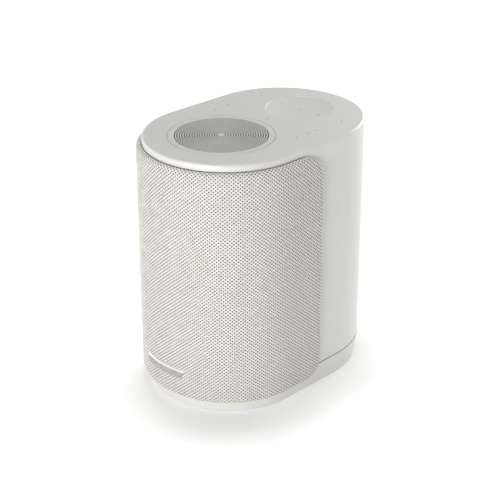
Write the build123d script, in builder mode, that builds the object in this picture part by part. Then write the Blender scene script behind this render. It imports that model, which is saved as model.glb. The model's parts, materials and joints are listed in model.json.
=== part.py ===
from build123d import *
import math
import os

# A compact smart speaker. Millimetres, +Z up, front faces -Y, origin at the
# middle of the rubber foot's underside. In plan every outer piece is a slot:
# two half circles whose centres lie at y = +-arc_offset.

# ---- driving dimensions ----
height = 200.0
arc_offset = 28.4            # half circle centres, either side of the middle
radius_low = 63.45           # housing's end radius, extended down to z = 0
radius_high = 62.03          # housing's end radius at the top
draft = math.degrees(math.atan((radius_low - radius_high) / height))
wall = 2.6
top_wall = 2.8
top_round = 1.6

foot_thick = 1.6
foot_radius = 54.0
base_low = 0.25              # underside of the base cover
base_radius = 63.6           # base cover at its top edge
base_radius_low = 62.4       # it draws in downwards, more so at the front and back
base_offset_low = 26.2       # half circle centres at its lower edge
base_round = 1.0
base_floor = 2.5
base_top = 17.3
hood_low = 18.0              # a 0.7 mm shadow gap is left between base and hood

grille_low = 10.3            # cloth covered front grille
grille_high = 194.7
grille_back = 4.0            # its upright edges, on both sides
grille_corner_high = 20.0
grille_corner_low = 14.5
grille_gap = 0.15            # grille's inner face to the housing
grille_proud = 4.15          # cloth's outer face to the housing
cloth_thick = 0.9
cloth_round = 3.4
frame_thick = 2.0

window_low = 20.5            # opening in the housing behind the grille
window_high = 186.0
window_back = -12.0
groove_depth = 1.5           # shadow groove above the grille

upfire_y = -34.1             # centre of the top grille and driver
top_grille_radius = 39.1
top_grille_thick = 1.8
ring_pitch = 1.8
ring_slot = 0.8
ring_count = 18
seat_top = 188.7             # shelf that carries the top driver

dish_y = 47.8
dish_radius = 26.25
dish_depth = 1.8             # at its middle; the floor is part of a ball
dish_lip, dish_lip_fall = 0.7, 0.45
dish_floor = 2.4             # thickness under the middle of the dish

mic_points = [(-42, -1), (-42, 48), (42, 0.4), (42, 21.3), (42, 48.3)]
led_point = (0, 12.8)

board_low = 190.0            # control board under the top
board_thick = 1.6
mic_high = 1.2

baffle_front = -72.0
baffle_thick = 4.0
baffle_half_width = 42.5
gasket_thick = 0.5
cabinet_radius = 59.0
cabinet_low = 22.0
cabinet_high = 148.0
cabinet_back = 55.0
cabinet_wall = 3.0
baffle_screw_points = [(22, 26.5), (38, 110), (22, 143.5)]
peg_points = [(37, 31), (37, 141)]
peg_radius = 2.0

woofer_z = 68.0
woofer_screw_radius = 37.4
upfire_screw_radius = 31.4
tweeter_screw_radius = 15.5
tweeter_z = 128.0

base_post_points = [(30, -30), (30, 30)]
hood_post_points = [(39.5, 60.5)]
hood_post_web = (12.0, 2.4)  # rib that ties each post to the rear wall

main_board_front = 60.0
main_board_low, main_board_high = 30.0, 150.0
main_board_half_width = 34.0
standoff_points = [(29, 36), (29, 144)]

io_board_front = 76.0
socket_z = 34.0
button_z = 47.0

badge_half_width = 20.5      # upper edge; the ends slant inwards below it
badge_half_width_low = 17.5
badge_low, badge_high = 27.9, 34.6

os.makedirs("parts", exist_ok=True)


def keep(part, name):
    part.label = name
    export_step(part, f"parts/{name}.step")


def both_sides(points):
    return [(side * x, y) for x, y in points for side in (-1, 1)]


def housing_radius(z):
    return radius_low + (radius_high - radius_low) * z / height


def slot_at(z, radius, offset=arc_offset):
    """The plan outline at height z."""
    with BuildSketch(Plane.XY.offset(z)) as outline:
        SlotCenterToCenter(2 * offset, 2 * radius, rotation=90)
    return outline.sketch


def drafted_slot(growth, low, high):
    """A solid that follows the housing's drafted wall, grown outwards."""
    with BuildPart() as solid:
        extrude(slot_at(low, housing_radius(low) + growth), amount=high - low, taper=draft)
    return solid.part


def rear_y(z):
    """Where the middle of the housing's rear face stands at height z."""
    return arc_offset + housing_radius(z)


# ---- outer pieces ----

def grille_side(inset):
    """Side view outline of the front grille, pushed through the object."""
    with BuildPart() as prism:
        with BuildSketch(Plane.YZ):
            with BuildLine():
                back, low, high = grille_back - inset, grille_low + inset, grille_high - inset
                FilletPolyline(
                    (-arc_offset, low), (back, low), (back, high), (-arc_offset, high),
                    radius=[grille_corner_low - inset, grille_corner_high - inset],
                )
                Polyline((-arc_offset, high), (-120, high), (-120, low), (-arc_offset, low))
            make_face()
        extrude(amount=80, both=True)
    return prism.part


def grille_body(growth, inset):
    """The grille as one rounded block, hollow where the housing stands."""
    with BuildPart() as body:
        add(drafted_slot(growth, 0, height))
        add(grille_side(inset), mode=Mode.INTERSECT)
        rim = body.edges().filter_by(
            lambda e: abs(e.center().X) > 1 and edge_on_outer_face(e, growth)
        )
        fillet(rim + front_edges(body, growth), radius=cloth_round - inset)
        add(drafted_slot(grille_gap, 0, height), mode=Mode.SUBTRACT)
    return body.part


def off_centre(point):
    """Distance of a point from the slot's middle line."""
    return math.hypot(point.X, max(abs(point.Y) - arc_offset, 0))


def edge_on_outer_face(edge, growth):
    middle = edge @ 0.5
    ends_match = all(
        abs(off_centre(edge @ t) - housing_radius((edge @ t).Z) - growth) < 0.02
        for t in (0, 0.5, 1)
    )
    runs_upright = abs((edge @ 0).Z - (edge @ 1).Z) > 1 and abs(middle.Y + arc_offset) < 0.1
    return ends_match and not runs_upright


def front_edges(body, growth):
    return body.edges().filter_by(
        lambda e: abs(e.center().X) <= 1 and edge_on_outer_face(e, growth)
    )


cloth_body = grille_body(grille_proud, 0)
core_body = grille_body(grille_proud - cloth_thick, cloth_thick)

with BuildPart() as grille_cloth:
    add(cloth_body)
    add(core_body, mode=Mode.SUBTRACT)
keep(grille_cloth.part, "grille_cloth")

with BuildPart() as grille_frame:
    add(core_body)
    # Thin moulded face with a thicker rim all round.
    pocket_growth = grille_proud - cloth_thick - frame_thick
    with BuildPart(mode=Mode.PRIVATE) as pocket:
        add(drafted_slot(pocket_growth, 0, height))
        add(grille_side(cloth_thick + 3.0), mode=Mode.INTERSECT)
    add(pocket.part, mode=Mode.SUBTRACT)
    # Sound windows: a lattice of slots, turned about each front arc centre.
    window_pitch = 17.0
    for level in range(9):
        z = grille_low + 22 + level * window_pitch
        for turn in range(-3, 4):
            with BuildSketch(Plane((0, -arc_offset, z), z_dir=(0, -1, 0)).rotated((0, turn * 24, 0))):
                RectangleRounded(21, window_pitch - 3, 3)
            extrude(amount=90, mode=Mode.SUBTRACT)
    # Snap pegs that enter the baffle.
    with BuildPart(mode=Mode.PRIVATE) as pegs:
        with BuildSketch(Plane.XZ.offset(-baffle_front - baffle_thick)):
            with Locations(*both_sides(peg_points)):
                Circle(peg_radius)
        extrude(amount=20)
        add(drafted_slot(pocket_growth + 0.8, 0, height), mode=Mode.INTERSECT)
    add(pegs.part)
keep(grille_frame.part, "grille_frame")

with BuildPart() as badge:
    add(drafted_slot(grille_proud + 1.15, 0, 60))
    add(drafted_slot(grille_proud + 0.05, 0, 60), mode=Mode.SUBTRACT)
    with BuildPart(mode=Mode.PRIVATE) as badge_outline:
        with BuildSketch(Plane.XZ):
            with BuildLine():
                FilletPolyline(
                    (badge_half_width, badge_high), (-badge_half_width, badge_high),
                    (-badge_half_width_low, badge_low), (badge_half_width_low, badge_low),
                    close=True, radius=0.6,
                )
            make_face()
        extrude(amount=120)
    add(badge_outline.part, mode=Mode.INTERSECT)
keep(badge.part, "badge_plate")

with BuildPart() as hood:
    add(drafted_slot(0, hood_low, height))
    fillet(hood.faces().sort_by(Axis.Z)[-1].edges(), radius=top_round)
    add(drafted_slot(-wall, hood_low, height - top_wall), mode=Mode.SUBTRACT)
    # Opening behind the grille, and the shadow groove above it.
    with BuildSketch(Plane.XY.offset(window_low)):
        with Locations((0, window_back - 60)):
            Rectangle(160, 120)
    extrude(amount=window_high - window_low, mode=Mode.SUBTRACT)
    with BuildPart(mode=Mode.PRIVATE) as groove:
        add(drafted_slot(2, window_high + 4, grille_high + 0.4))
        add(drafted_slot(-groove_depth, window_high + 4, grille_high + 0.4), mode=Mode.SUBTRACT)
        front_half = Pos(0, window_back - 60, height / 2) * Box(160, 120, height, mode=Mode.PRIVATE)
        add(front_half, mode=Mode.INTERSECT)
    add(groove.part, mode=Mode.SUBTRACT)
    # Well and shelf for the top driver, and the ledge for its grille.
    with BuildSketch(Plane.XY.offset(seat_top - 2.7)):
        with Locations((0, upfire_y)):
            Circle(37.2)
    extrude(amount=height - top_wall - seat_top + 2.7)
    with BuildSketch(Plane.XY.offset(seat_top)):
        with Locations((0, upfire_y)):
            Circle(34.8)
    extrude(amount=height - seat_top, mode=Mode.SUBTRACT)
    with BuildSketch(Plane.XY.offset(seat_top - 3)):
        with Locations((0, upfire_y)):
            Circle(28.2)
            with PolarLocations(upfire_screw_radius, 4, start_angle=45):
                Circle(1.25)
    extrude(amount=height, mode=Mode.SUBTRACT)
    with BuildSketch(Plane.XY.offset(height - top_grille_thick)):
        with Locations((0, upfire_y)):
            Circle(top_grille_radius + 0.3)
    extrude(amount=10, mode=Mode.SUBTRACT)
    # Shallow finger dish, seamless with the top.
    dish_underside = height - dish_depth - dish_floor
    with BuildSketch(Plane.XY.offset(dish_underside)):
        with Locations((0, dish_y)):
            Circle(dish_radius + 2.5)
    extrude(amount=height - top_wall - dish_underside)
    bowl_radius = dish_radius - dish_lip
    bowl_rise = dish_depth - dish_lip_fall
    ball = (bowl_radius ** 2 + bowl_rise ** 2) / (2 * bowl_rise)
    half_turn = math.asin(bowl_radius / ball) / 2
    with BuildSketch(Plane.YZ):
        with BuildLine():
            rim = Line((dish_y, height + 1), (dish_y + dish_radius, height + 1))
            lip = Polyline(
                rim @ 1, (dish_y + dish_radius, height),
                (dish_y + bowl_radius, height - dish_lip_fall),
            )
            bowl = ThreePointArc(
                lip @ 1,
                (dish_y + ball * math.sin(half_turn),
                 height - dish_depth + ball * (1 - math.cos(half_turn))),
                (dish_y, height - dish_depth),
            )
            Line(bowl @ 1, rim @ 0)
        make_face()
    revolve(axis=Axis((0, dish_y, 0), (0, 0, 1)), mode=Mode.SUBTRACT)
    # Posts for the control board, then the microphone and lamp holes.
    with BuildSketch(Plane.XY.offset(board_low + board_thick)):
        with Locations(*both_sides([(30, 11), (38, 55)])):
            Circle(3)
    extrude(amount=height - top_wall - board_low - board_thick)
    with BuildSketch(Plane.XY.offset(board_low + board_thick)):
        with Locations(*both_sides([(30, 11), (38, 55)])):
            Circle(1.25)
    extrude(amount=5, mode=Mode.SUBTRACT)
    with BuildSketch(Plane.XY.offset(height - 4)):
        with Locations(*mic_points):
            Circle(0.6)
        with Locations(led_point):
            Circle(0.9)
    extrude(amount=6, mode=Mode.SUBTRACT)
    # Rear posts that take the screws from the base.
    with BuildSketch(Plane.XY.offset(hood_low)):
        for x, y in both_sides(hood_post_points):
            turn = math.atan2(y - arc_offset, x)
            reach = hood_post_web[0] / 2
            with Locations((x, y)):
                Circle(4.5)
            web_middle = (x + reach * math.cos(turn), y + reach * math.sin(turn))
            with Locations(Location((*web_middle, 0), (0, 0, math.degrees(turn)))):
                Rectangle(*hood_post_web)
    extrude(amount=24)
    with BuildSketch(Plane.XY.offset(hood_low)):
        with Locations(*both_sides(hood_post_points)):
            Circle(1.5)
    extrude(amount=20, mode=Mode.SUBTRACT)
    # Power inlet and link button holes in the rear wall.
    with BuildSketch(Plane.XZ.offset(-80)):
        with Locations((0, socket_z)):
            Circle(4.7)
        with Locations((0, button_z)):
            Circle(3.8)
    extrude(amount=-15, mode=Mode.SUBTRACT)
keep(hood.part, "hood")

with BuildPart() as base_cover:
    loft([slot_at(base_low, base_radius_low, base_offset_low), slot_at(base_top, base_radius)],
         ruled=True)
    fillet(base_cover.faces().sort_by(Axis.Z)[0].edges(), radius=base_round)
    with BuildPart(mode=Mode.PRIVATE) as hollow:
        loft([slot_at(base_low + base_floor, base_radius_low - wall, base_offset_low),
              slot_at(base_top + 1, base_radius - wall)], ruled=True)
    add(hollow.part, mode=Mode.SUBTRACT)
    # Rebate that clears the grille's lower edge.
    with BuildPart(mode=Mode.PRIVATE) as rebate:
        add(grille_side(-0.4))
        add(drafted_slot(-0.1, 0, height), mode=Mode.SUBTRACT)
    add(rebate.part, mode=Mode.SUBTRACT)
    # Posts for the screws into the cabinet and the hood.
    with BuildSketch(Plane.XY.offset(base_low + 1)):
        with Locations(*both_sides(base_post_points)):
            Circle(5)
    extrude(amount=cabinet_low - base_low - 1.1)
    with BuildSketch(Plane.XY.offset(base_low + 1)):
        with Locations(*both_sides(hood_post_points)):
            Circle(4.5)
    extrude(amount=hood_low - base_low - 1.1)
    with BuildSketch(Plane.XY):
        with Locations(*both_sides(base_post_points), *both_sides(hood_post_points)):
            Circle(1.7)
    extrude(amount=cabinet_low, mode=Mode.SUBTRACT)
    with BuildSketch(Plane.XY):
        with Locations(*both_sides(base_post_points), *both_sides(hood_post_points)):
            Circle(3.2)
    extrude(amount=foot_thick + 3, mode=Mode.SUBTRACT)
    # Recess for the rubber foot.
    extrude(slot_at(0, foot_radius + 0.2), amount=foot_thick, mode=Mode.SUBTRACT)
keep(base_cover.part, "base_cover")

with BuildPart() as rubber_foot:
    extrude(slot_at(0, foot_radius), amount=foot_thick)
    fillet(rubber_foot.faces().sort_by(Axis.Z)[0].edges(), radius=0.4)
keep(rubber_foot.part, "rubber_foot")

with BuildPart() as top_grille:
    ledge = height - top_grille_thick
    with BuildSketch(Plane.XY.offset(ledge)):
        with Locations((0, upfire_y)):
            Circle(top_grille_radius)
    extrude(amount=top_grille_thick)
    with BuildSketch(Plane.XY.offset(ledge)):
        with Locations((0, upfire_y)):
            for ring in range(ring_count, 0, -1):
                Circle(ring * ring_pitch + 1.1 + ring_slot)
                Circle(ring * ring_pitch + 1.1, mode=Mode.SUBTRACT)
    extrude(amount=top_grille_thick, mode=Mode.SUBTRACT)
    # Spokes hidden under the rings.
    with BuildSketch(Plane.XY.offset(ledge)):
        with Locations((0, upfire_y)):
            with PolarLocations(18, 8):
                Rectangle(36, 1.2)
    extrude(amount=0.7)
keep(top_grille.part, "top_grille")

with BuildPart() as dust_mesh:
    with BuildSketch(Plane.XY.offset(height - top_grille_thick - 0.35)):
        with Locations((0, upfire_y)):
            Circle(34.6)
    extrude(amount=0.3)
keep(dust_mesh.part, "dust_mesh")


# ---- loudspeaker drivers ----

def half_turn_ring(seat, *outline):
    """A ring about the driver's axis; outline points are (radius, forward)."""
    section_plane = Plane(seat.origin, x_dir=seat.x_dir, z_dir=-seat.y_dir)
    with BuildPart() as ring:
        with BuildSketch(section_plane):
            with BuildLine():
                Polyline(*outline, close=True)
            make_face()
        revolve(axis=Axis(seat.origin, seat.z_dir))
    return ring.part


def box_ring(seat, inner, outer, back, front):
    return half_turn_ring(seat, (inner, back), (outer, back), (outer, front), (inner, front))


def dome_cap(seat, rim_radius, rim_forward, rise, thickness):
    """A thin ball segment about the driver's axis, standing on its rim."""
    ball = (rim_radius ** 2 + rise ** 2) / (2 * rise)
    centre = rim_forward + rise - ball
    inner_ball = ball - thickness
    outer_half = math.asin(rim_radius / ball) / 2
    inner_rim = math.sqrt(inner_ball ** 2 - (rim_forward - centre) ** 2)
    inner_half = math.asin(inner_rim / inner_ball) / 2
    section_plane = Plane(seat.origin, x_dir=seat.x_dir, z_dir=-seat.y_dir)
    with BuildPart() as cap:
        with BuildSketch(section_plane):
            with BuildLine():
                outside = ThreePointArc(
                    (0, centre + ball),
                    (ball * math.sin(outer_half), centre + ball * math.cos(outer_half)),
                    (rim_radius, rim_forward),
                )
                rim = Line(outside @ 1, (inner_rim, rim_forward))
                inside = ThreePointArc(
                    rim @ 1,
                    (inner_ball * math.sin(inner_half), centre + inner_ball * math.cos(inner_half)),
                    (0, centre + inner_ball),
                )
                Line(inside @ 1, outside @ 0)
            make_face()
        revolve(axis=Axis(seat.origin, seat.z_dir))
    return cap.part


def screw_ring(seat, radius, head_radius, shank_radius, reach):
    """Four screws round a driver, their heads standing on the seat plane."""
    with BuildPart() as screws:
        with BuildSketch(seat):
            with PolarLocations(radius, 4, start_angle=45):
                Circle(head_radius)
        extrude(amount=1.6)
        with BuildSketch(seat):
            with PolarLocations(radius, 4, start_angle=45):
                Circle(shank_radius)
        extrude(amount=-reach)
        with BuildSketch(seat.offset(0.8)):
            with PolarLocations(radius, 4, start_angle=45):
                Rectangle(head_radius, 0.5)
                Rectangle(0.5, head_radius)
        extrude(amount=2, mode=Mode.SUBTRACT)
    return screws.part


def cone_driver(name, seat, k, flange_radius, screw_radius):
    """A moving coil driver; lengths are those of an 80 mm unit times k."""
    step = 24.0 * k
    opening = 32.6 * k
    with BuildPart() as basket:
        add(half_turn_ring(
            seat, (opening, 0), (opening, 2.5 * k), (flange_radius, 2.5 * k), (flange_radius, 0),
            (34.6 * k, 0), (25.6 * k, -22 * k), (25.6 * k, -step), (11 * k, -step),
            (11 * k, -22 * k), (23.6 * k, -22 * k),
        ))
        with BuildSketch(seat.offset(-19 * k)):
            with PolarLocations(28 * k, 6):
                RectangleRounded(16 * k, 13 * k, 2 * k)
        extrude(amount=13 * k, mode=Mode.SUBTRACT)
        with BuildSketch(seat):
            with PolarLocations(screw_radius, 4, start_angle=45):
                Circle(1.3)
        extrude(amount=2.5 * k, mode=Mode.SUBTRACT)
    keep(basket.part, f"{name}_basket")

    keep(box_ring(seat, 10.9 * k, 22 * k, -28 * k, -step), f"{name}_top_plate")
    keep(box_ring(seat, 12.2 * k, 23 * k, -38 * k, -28 * k), f"{name}_magnet")
    keep(half_turn_ring(
        seat, (0, -42 * k), (22 * k, -42 * k), (22 * k, -38 * k), (9.3 * k, -38 * k),
        (9.3 * k, -24.6 * k), (0, -24.6 * k),
    ), f"{name}_yoke")

    with BuildPart() as coil:
        add(box_ring(seat, 9.9 * k, 10.15 * k, -31 * k, -11.7 * k))
        add(box_ring(seat, 10.1 * k, 10.4 * k, -30 * k, -22.5 * k))
    keep(coil.part, f"{name}_voice_coil")

    keep(half_turn_ring(
        seat, (10.16 * k, -13 * k), (10.9 * k, -13 * k), (25.8 * k, 1.6 * k), (27 * k, 1.7 * k),
        (27 * k, 2.5 * k), (25.5 * k, 2.5 * k), (10.16 * k, -11.8 * k),
    ), f"{name}_cone")

    keep(dome_cap(seat, 11.9 * k, -10.2 * k, 4.2 * k, 0.5 * k), f"{name}_dust_cap")

    section_plane = Plane(seat.origin, x_dir=seat.x_dir, z_dir=-seat.y_dir)
    with BuildPart() as surround:
        with BuildSketch(section_plane):
            with BuildLine():
                lip = Polyline(
                    (25.7 * k, 3 * k), (25.7 * k, 2.5 * k), (27.3 * k, 2.5 * k),
                )
                under = ThreePointArc(lip @ 1, (29.9 * k, 5.1 * k), (32.5 * k, 2.5 * k))
                land = Polyline(under @ 1, (34.9 * k, 2.5 * k), (34.9 * k, 3 * k), (33 * k, 3 * k))
                over = ThreePointArc(land @ 1, (29.9 * k, 5.8 * k), (26.8 * k, 3 * k))
                Line(over @ 1, lip @ 0)
            make_face()
        revolve(axis=Axis(seat.origin, seat.z_dir))
    keep(surround.part, f"{name}_surround")

    # Corrugated spider, glued to the basket at its rim.
    ripples = [(10.8 + 1.5 * n, -15.2 - (0.9 if n % 2 else 0)) for n in range(9)]
    over = [(r * k, z * k) for r, z in ripples]
    under = [(r * k, (z - 0.45) * k) for r, z in reversed(ripples)]
    keep(half_turn_ring(seat, *over, *under), f"{name}_spider")


woofer_seat = Plane((0, baffle_front, woofer_z), x_dir=(1, 0, 0), z_dir=(0, -1, 0))
upfire_seat = Plane((0, upfire_y, seat_top), x_dir=(1, 0, 0), z_dir=(0, 0, 1))
tweeter_seat = Plane((0, baffle_front, tweeter_z), x_dir=(1, 0, 0), z_dir=(0, -1, 0))

cone_driver("woofer", woofer_seat, 1.0, 40.0, woofer_screw_radius)
cone_driver("upfire", upfire_seat, 0.8, 34.4, upfire_screw_radius)

with BuildPart() as tweeter_faceplate:
    add(half_turn_ring(
        tweeter_seat, (10.6, -0.2), (13.2, -0.2), (13.2, 0), (17.5, 0), (17.5, 1.4),
        (16.9, 2.0), (12.4, 2.0), (10.6, 1.0),
    ))
    with BuildSketch(tweeter_seat):
        with PolarLocations(tweeter_screw_radius, 4, start_angle=45):
            Circle(1.1)
    extrude(amount=2, mode=Mode.SUBTRACT)
keep(tweeter_faceplate.part, "tweeter_faceplate")
keep(box_ring(tweeter_seat, 9.7, 13.2, -3, -0.5), "tweeter_top_plate")
keep(box_ring(tweeter_seat, 10.5, 13.2, -8, -3), "tweeter_magnet")
keep(half_turn_ring(
    tweeter_seat, (0, -10.5), (13.2, -10.5), (13.2, -8), (8.5, -8), (8.5, -0.8), (0, -0.8),
), "tweeter_yoke")
keep(box_ring(tweeter_seat, 8.95, 9.25, -3.4, 0.4), "tweeter_voice_coil")
keep(box_ring(tweeter_seat, 9.6, 12.8, -0.5, -0.2), "tweeter_surround")

keep(dome_cap(tweeter_seat, 9.25, 0.4, 3.2, 0.3), "tweeter_dome")

with BuildPart() as driver_screws:
    add(screw_ring(woofer_seat.offset(2.5), woofer_screw_radius, 2.3, 1.2, 8.5))
    add(screw_ring(upfire_seat.offset(2.0), upfire_screw_radius, 2.3, 1.2, 8.5))
    add(screw_ring(tweeter_seat.offset(2.0), tweeter_screw_radius, 1.7, 1.0, 7))
keep(driver_screws.part, "driver_screws")

# ---- acoustic cabinet ----

with BuildPart() as front_baffle:
    with BuildSketch(Plane.XZ.offset(-baffle_front - baffle_thick)):
        with Locations((0, (cabinet_low + cabinet_high) / 2)):
            RectangleRounded(2 * baffle_half_width, cabinet_high - cabinet_low, 6)
        with Locations((0, woofer_z)):
            Circle(35.2, mode=Mode.SUBTRACT)
        with Locations((0, tweeter_z)):
            Circle(13.5, mode=Mode.SUBTRACT)
        with Locations(*both_sides(baffle_screw_points)):
            Circle(1.6, mode=Mode.SUBTRACT)
        with Locations(*both_sides(peg_points)):
            Circle(3.8, mode=Mode.SUBTRACT)
        with Locations((0, woofer_z)):
            with PolarLocations(woofer_screw_radius, 4, start_angle=45):
                Circle(1.25, mode=Mode.SUBTRACT)
        with Locations((0, tweeter_z)):
            with PolarLocations(tweeter_screw_radius, 4, start_angle=45):
                Circle(1.05, mode=Mode.SUBTRACT)
    extrude(amount=baffle_thick)
keep(front_baffle.part, "front_baffle")

baffle_back = baffle_front + baffle_thick
cabinet_front = baffle_back + gasket_thick


def cabinet_block(inset, front, low, high):
    with BuildPart() as block:
        extrude(slot_at(low, cabinet_radius - inset), amount=high - low)
        middle = (front + cabinet_back - inset) / 2
        depth = cabinet_back - inset - front
        span = Pos(0, middle, (low + high) / 2) * Box(200, depth, high - low, mode=Mode.PRIVATE)
        add(span, mode=Mode.INTERSECT)
    return block.part


with BuildPart() as baffle_gasket:
    rim_half = math.sqrt(cabinet_radius ** 2 - (baffle_back + arc_offset) ** 2) - 2.5
    with BuildSketch(Plane.XZ.offset(-cabinet_front)):
        with Locations((0, (cabinet_low + cabinet_high) / 2)):
            Rectangle(2 * rim_half + 2, cabinet_high - cabinet_low)
            Rectangle(2 * rim_half - 5, cabinet_high - cabinet_low - 6, mode=Mode.SUBTRACT)
        with Locations(*both_sides(baffle_screw_points)):
            Circle(3.5)
            Circle(1.6, mode=Mode.SUBTRACT)
    extrude(amount=gasket_thick)
keep(baffle_gasket.part, "baffle_gasket")

with BuildPart() as cabinet:
    add(cabinet_block(0, cabinet_front, cabinet_low, cabinet_high))
    add(cabinet_block(cabinet_wall, cabinet_front - 1, cabinet_low + cabinet_wall,
                      cabinet_high - cabinet_wall), mode=Mode.SUBTRACT)
    # Bosses for the baffle screws.
    with BuildSketch(Plane.XZ.offset(-cabinet_front)):
        with Locations(*both_sides(baffle_screw_points)):
            Circle(3.4)
    extrude(amount=-12)
    with BuildSketch(Plane.XZ.offset(-cabinet_front)):
        with Locations(*both_sides(baffle_screw_points)):
            Circle(1.35)
    extrude(amount=-10, mode=Mode.SUBTRACT)
    # Bosses for the screws that come up from the base.
    with BuildSketch(Plane.XY.offset(cabinet_low)):
        with Locations(*both_sides(base_post_points)):
            Circle(4)
    extrude(amount=13)
    with BuildSketch(Plane.XY.offset(cabinet_low)):
        with Locations(*both_sides(base_post_points)):
            Circle(1.5)
    extrude(amount=11, mode=Mode.SUBTRACT)
    # Standoffs for the main board on the rear wall, and the lead gland's hole.
    with BuildSketch(Plane.XZ.offset(-cabinet_back)):
        with Locations(*both_sides(standoff_points)):
            Circle(3)
    extrude(amount=-(main_board_front - cabinet_back))
    with BuildSketch(Plane.XZ.offset(-main_board_front)):
        with Locations(*both_sides(standoff_points)):
            Circle(1.25)
    extrude(amount=6, mode=Mode.SUBTRACT)
    with BuildSketch(Plane.XZ.offset(-cabinet_back - 1)):
        with Locations((0, 100)):
            Circle(4)
    extrude(amount=8, mode=Mode.SUBTRACT)
keep(cabinet.part, "cabinet")

with BuildPart() as lead_gland:
    gland_plane = Plane((0, cabinet_back, 100), x_dir=(1, 0, 0), z_dir=(0, 1, 0))
    add(box_ring(gland_plane, 1.7, 3.95, -cabinet_wall, 0))
    add(box_ring(gland_plane, 1.7, 6, 0, 1.5))
keep(lead_gland.part, "lead_gland")

with BuildPart() as grille_grommets:
    for x, z in both_sides(peg_points):
        grommet_plane = Plane((x, baffle_back, z), x_dir=(1, 0, 0), z_dir=(0, -1, 0))
        add(box_ring(grommet_plane, peg_radius + 0.05, 3.75, 0, baffle_thick))
keep(grille_grommets.part, "grille_grommets")

with BuildPart() as upfire_chamber:
    chamber_top = seat_top - 2.7
    chamber_plane = Plane((0, upfire_y, chamber_top), x_dir=(1, 0, 0), z_dir=(0, 0, 1))
    add(half_turn_ring(
        chamber_plane, (0, -36), (34, -36), (34, 0), (28.6, 0), (28.6, -5), (31.6, -8),
        (31.6, -33.6), (0, -33.6),
    ))
    with BuildSketch(chamber_plane):
        with PolarLocations(upfire_screw_radius, 4, start_angle=45):
            Circle(1.25)
    extrude(amount=-5, mode=Mode.SUBTRACT)
keep(upfire_chamber.part, "upfire_chamber")

# ---- electronics ----

control_board_screw_points = both_sides([(30, 11), (38, 55)])

with BuildPart() as control_board:
    with BuildSketch(Plane.XY.offset(board_low)):
        with Locations((0, 32)):
            Rectangle(94, 52)
        with Locations((-42, 0), (42, 0)):
            Rectangle(10, 13)
        with Locations(*control_board_screw_points):
            Circle(1.3, mode=Mode.SUBTRACT)
    extrude(amount=board_thick)
keep(control_board.part, "control_board")

mic_seat = board_low + board_thick
with BuildPart() as microphones:
    with BuildSketch(Plane.XY.offset(mic_seat)):
        with Locations(*mic_points):
            Rectangle(3.8, 3.0)
    extrude(amount=mic_high)
keep(microphones.part, "microphones")

with BuildPart() as mic_boots:
    with BuildSketch(Plane.XY.offset(mic_seat + mic_high)):
        with Locations(*mic_points):
            Circle(2.4)
            Circle(0.7, mode=Mode.SUBTRACT)
    extrude(amount=height - top_wall - mic_seat - mic_high)
keep(mic_boots.part, "microphone_boots")

with BuildPart() as light_guide:
    with BuildSketch(Plane.XY.offset(mic_seat + 0.9)):
        with Locations(led_point):
            Circle(1.8)
    extrude(amount=height - top_wall - mic_seat - 0.9)
    with BuildSketch(Plane.XY.offset(height - top_wall)):
        with Locations(led_point):
            Circle(0.85)
    extrude(amount=top_wall)
keep(light_guide.part, "light_guide")

with BuildPart() as touch_film:
    with BuildSketch(Plane.XY.offset(dish_underside - 0.4)):
        with Locations((0, dish_y)):
            Circle(24)
    extrude(amount=0.4)
keep(touch_film.part, "touch_film")

board_edge = 58.0
with BuildPart() as touch_foam:
    with BuildSketch(Plane.XY.offset(mic_seat)):
        with Locations((0, dish_y)):
            Circle(23)
        with Locations((0, board_edge + 25)):
            Rectangle(60, 50, mode=Mode.SUBTRACT)
    extrude(amount=dish_underside - 0.4 - mic_seat)
keep(touch_foam.part, "touch_foam")

board_back = main_board_front + board_thick
with BuildPart() as main_board:
    with BuildSketch(Plane.XZ.offset(-board_back)):
        with Locations((0, (main_board_low + main_board_high) / 2)):
            Rectangle(2 * main_board_half_width, main_board_high - main_board_low)
        with Locations(*both_sides(standoff_points)):
            Circle(1.3, mode=Mode.SUBTRACT)
        with Locations((0, 100)):
            Circle(2.5, mode=Mode.SUBTRACT)
    extrude(amount=board_thick)
keep(main_board.part, "main_board")

with BuildPart() as board_screws:
    with BuildSketch(Plane.XY.offset(board_low)):
        with Locations(*control_board_screw_points):
            Circle(2.4)
    extrude(amount=-1.6)
    with BuildSketch(Plane.XY.offset(board_low)):
        with Locations(*control_board_screw_points):
            Circle(1.2)
    extrude(amount=5.5)
    with BuildSketch(Plane.XZ.offset(-board_back)):
        with Locations(*both_sides(standoff_points)):
            Circle(2.4)
    extrude(amount=-1.6)
    with BuildSketch(Plane.XZ.offset(-board_back)):
        with Locations(*both_sides(standoff_points)):
            Circle(1.2)
    extrude(amount=7)
keep(board_screws.part, "board_screws")

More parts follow.
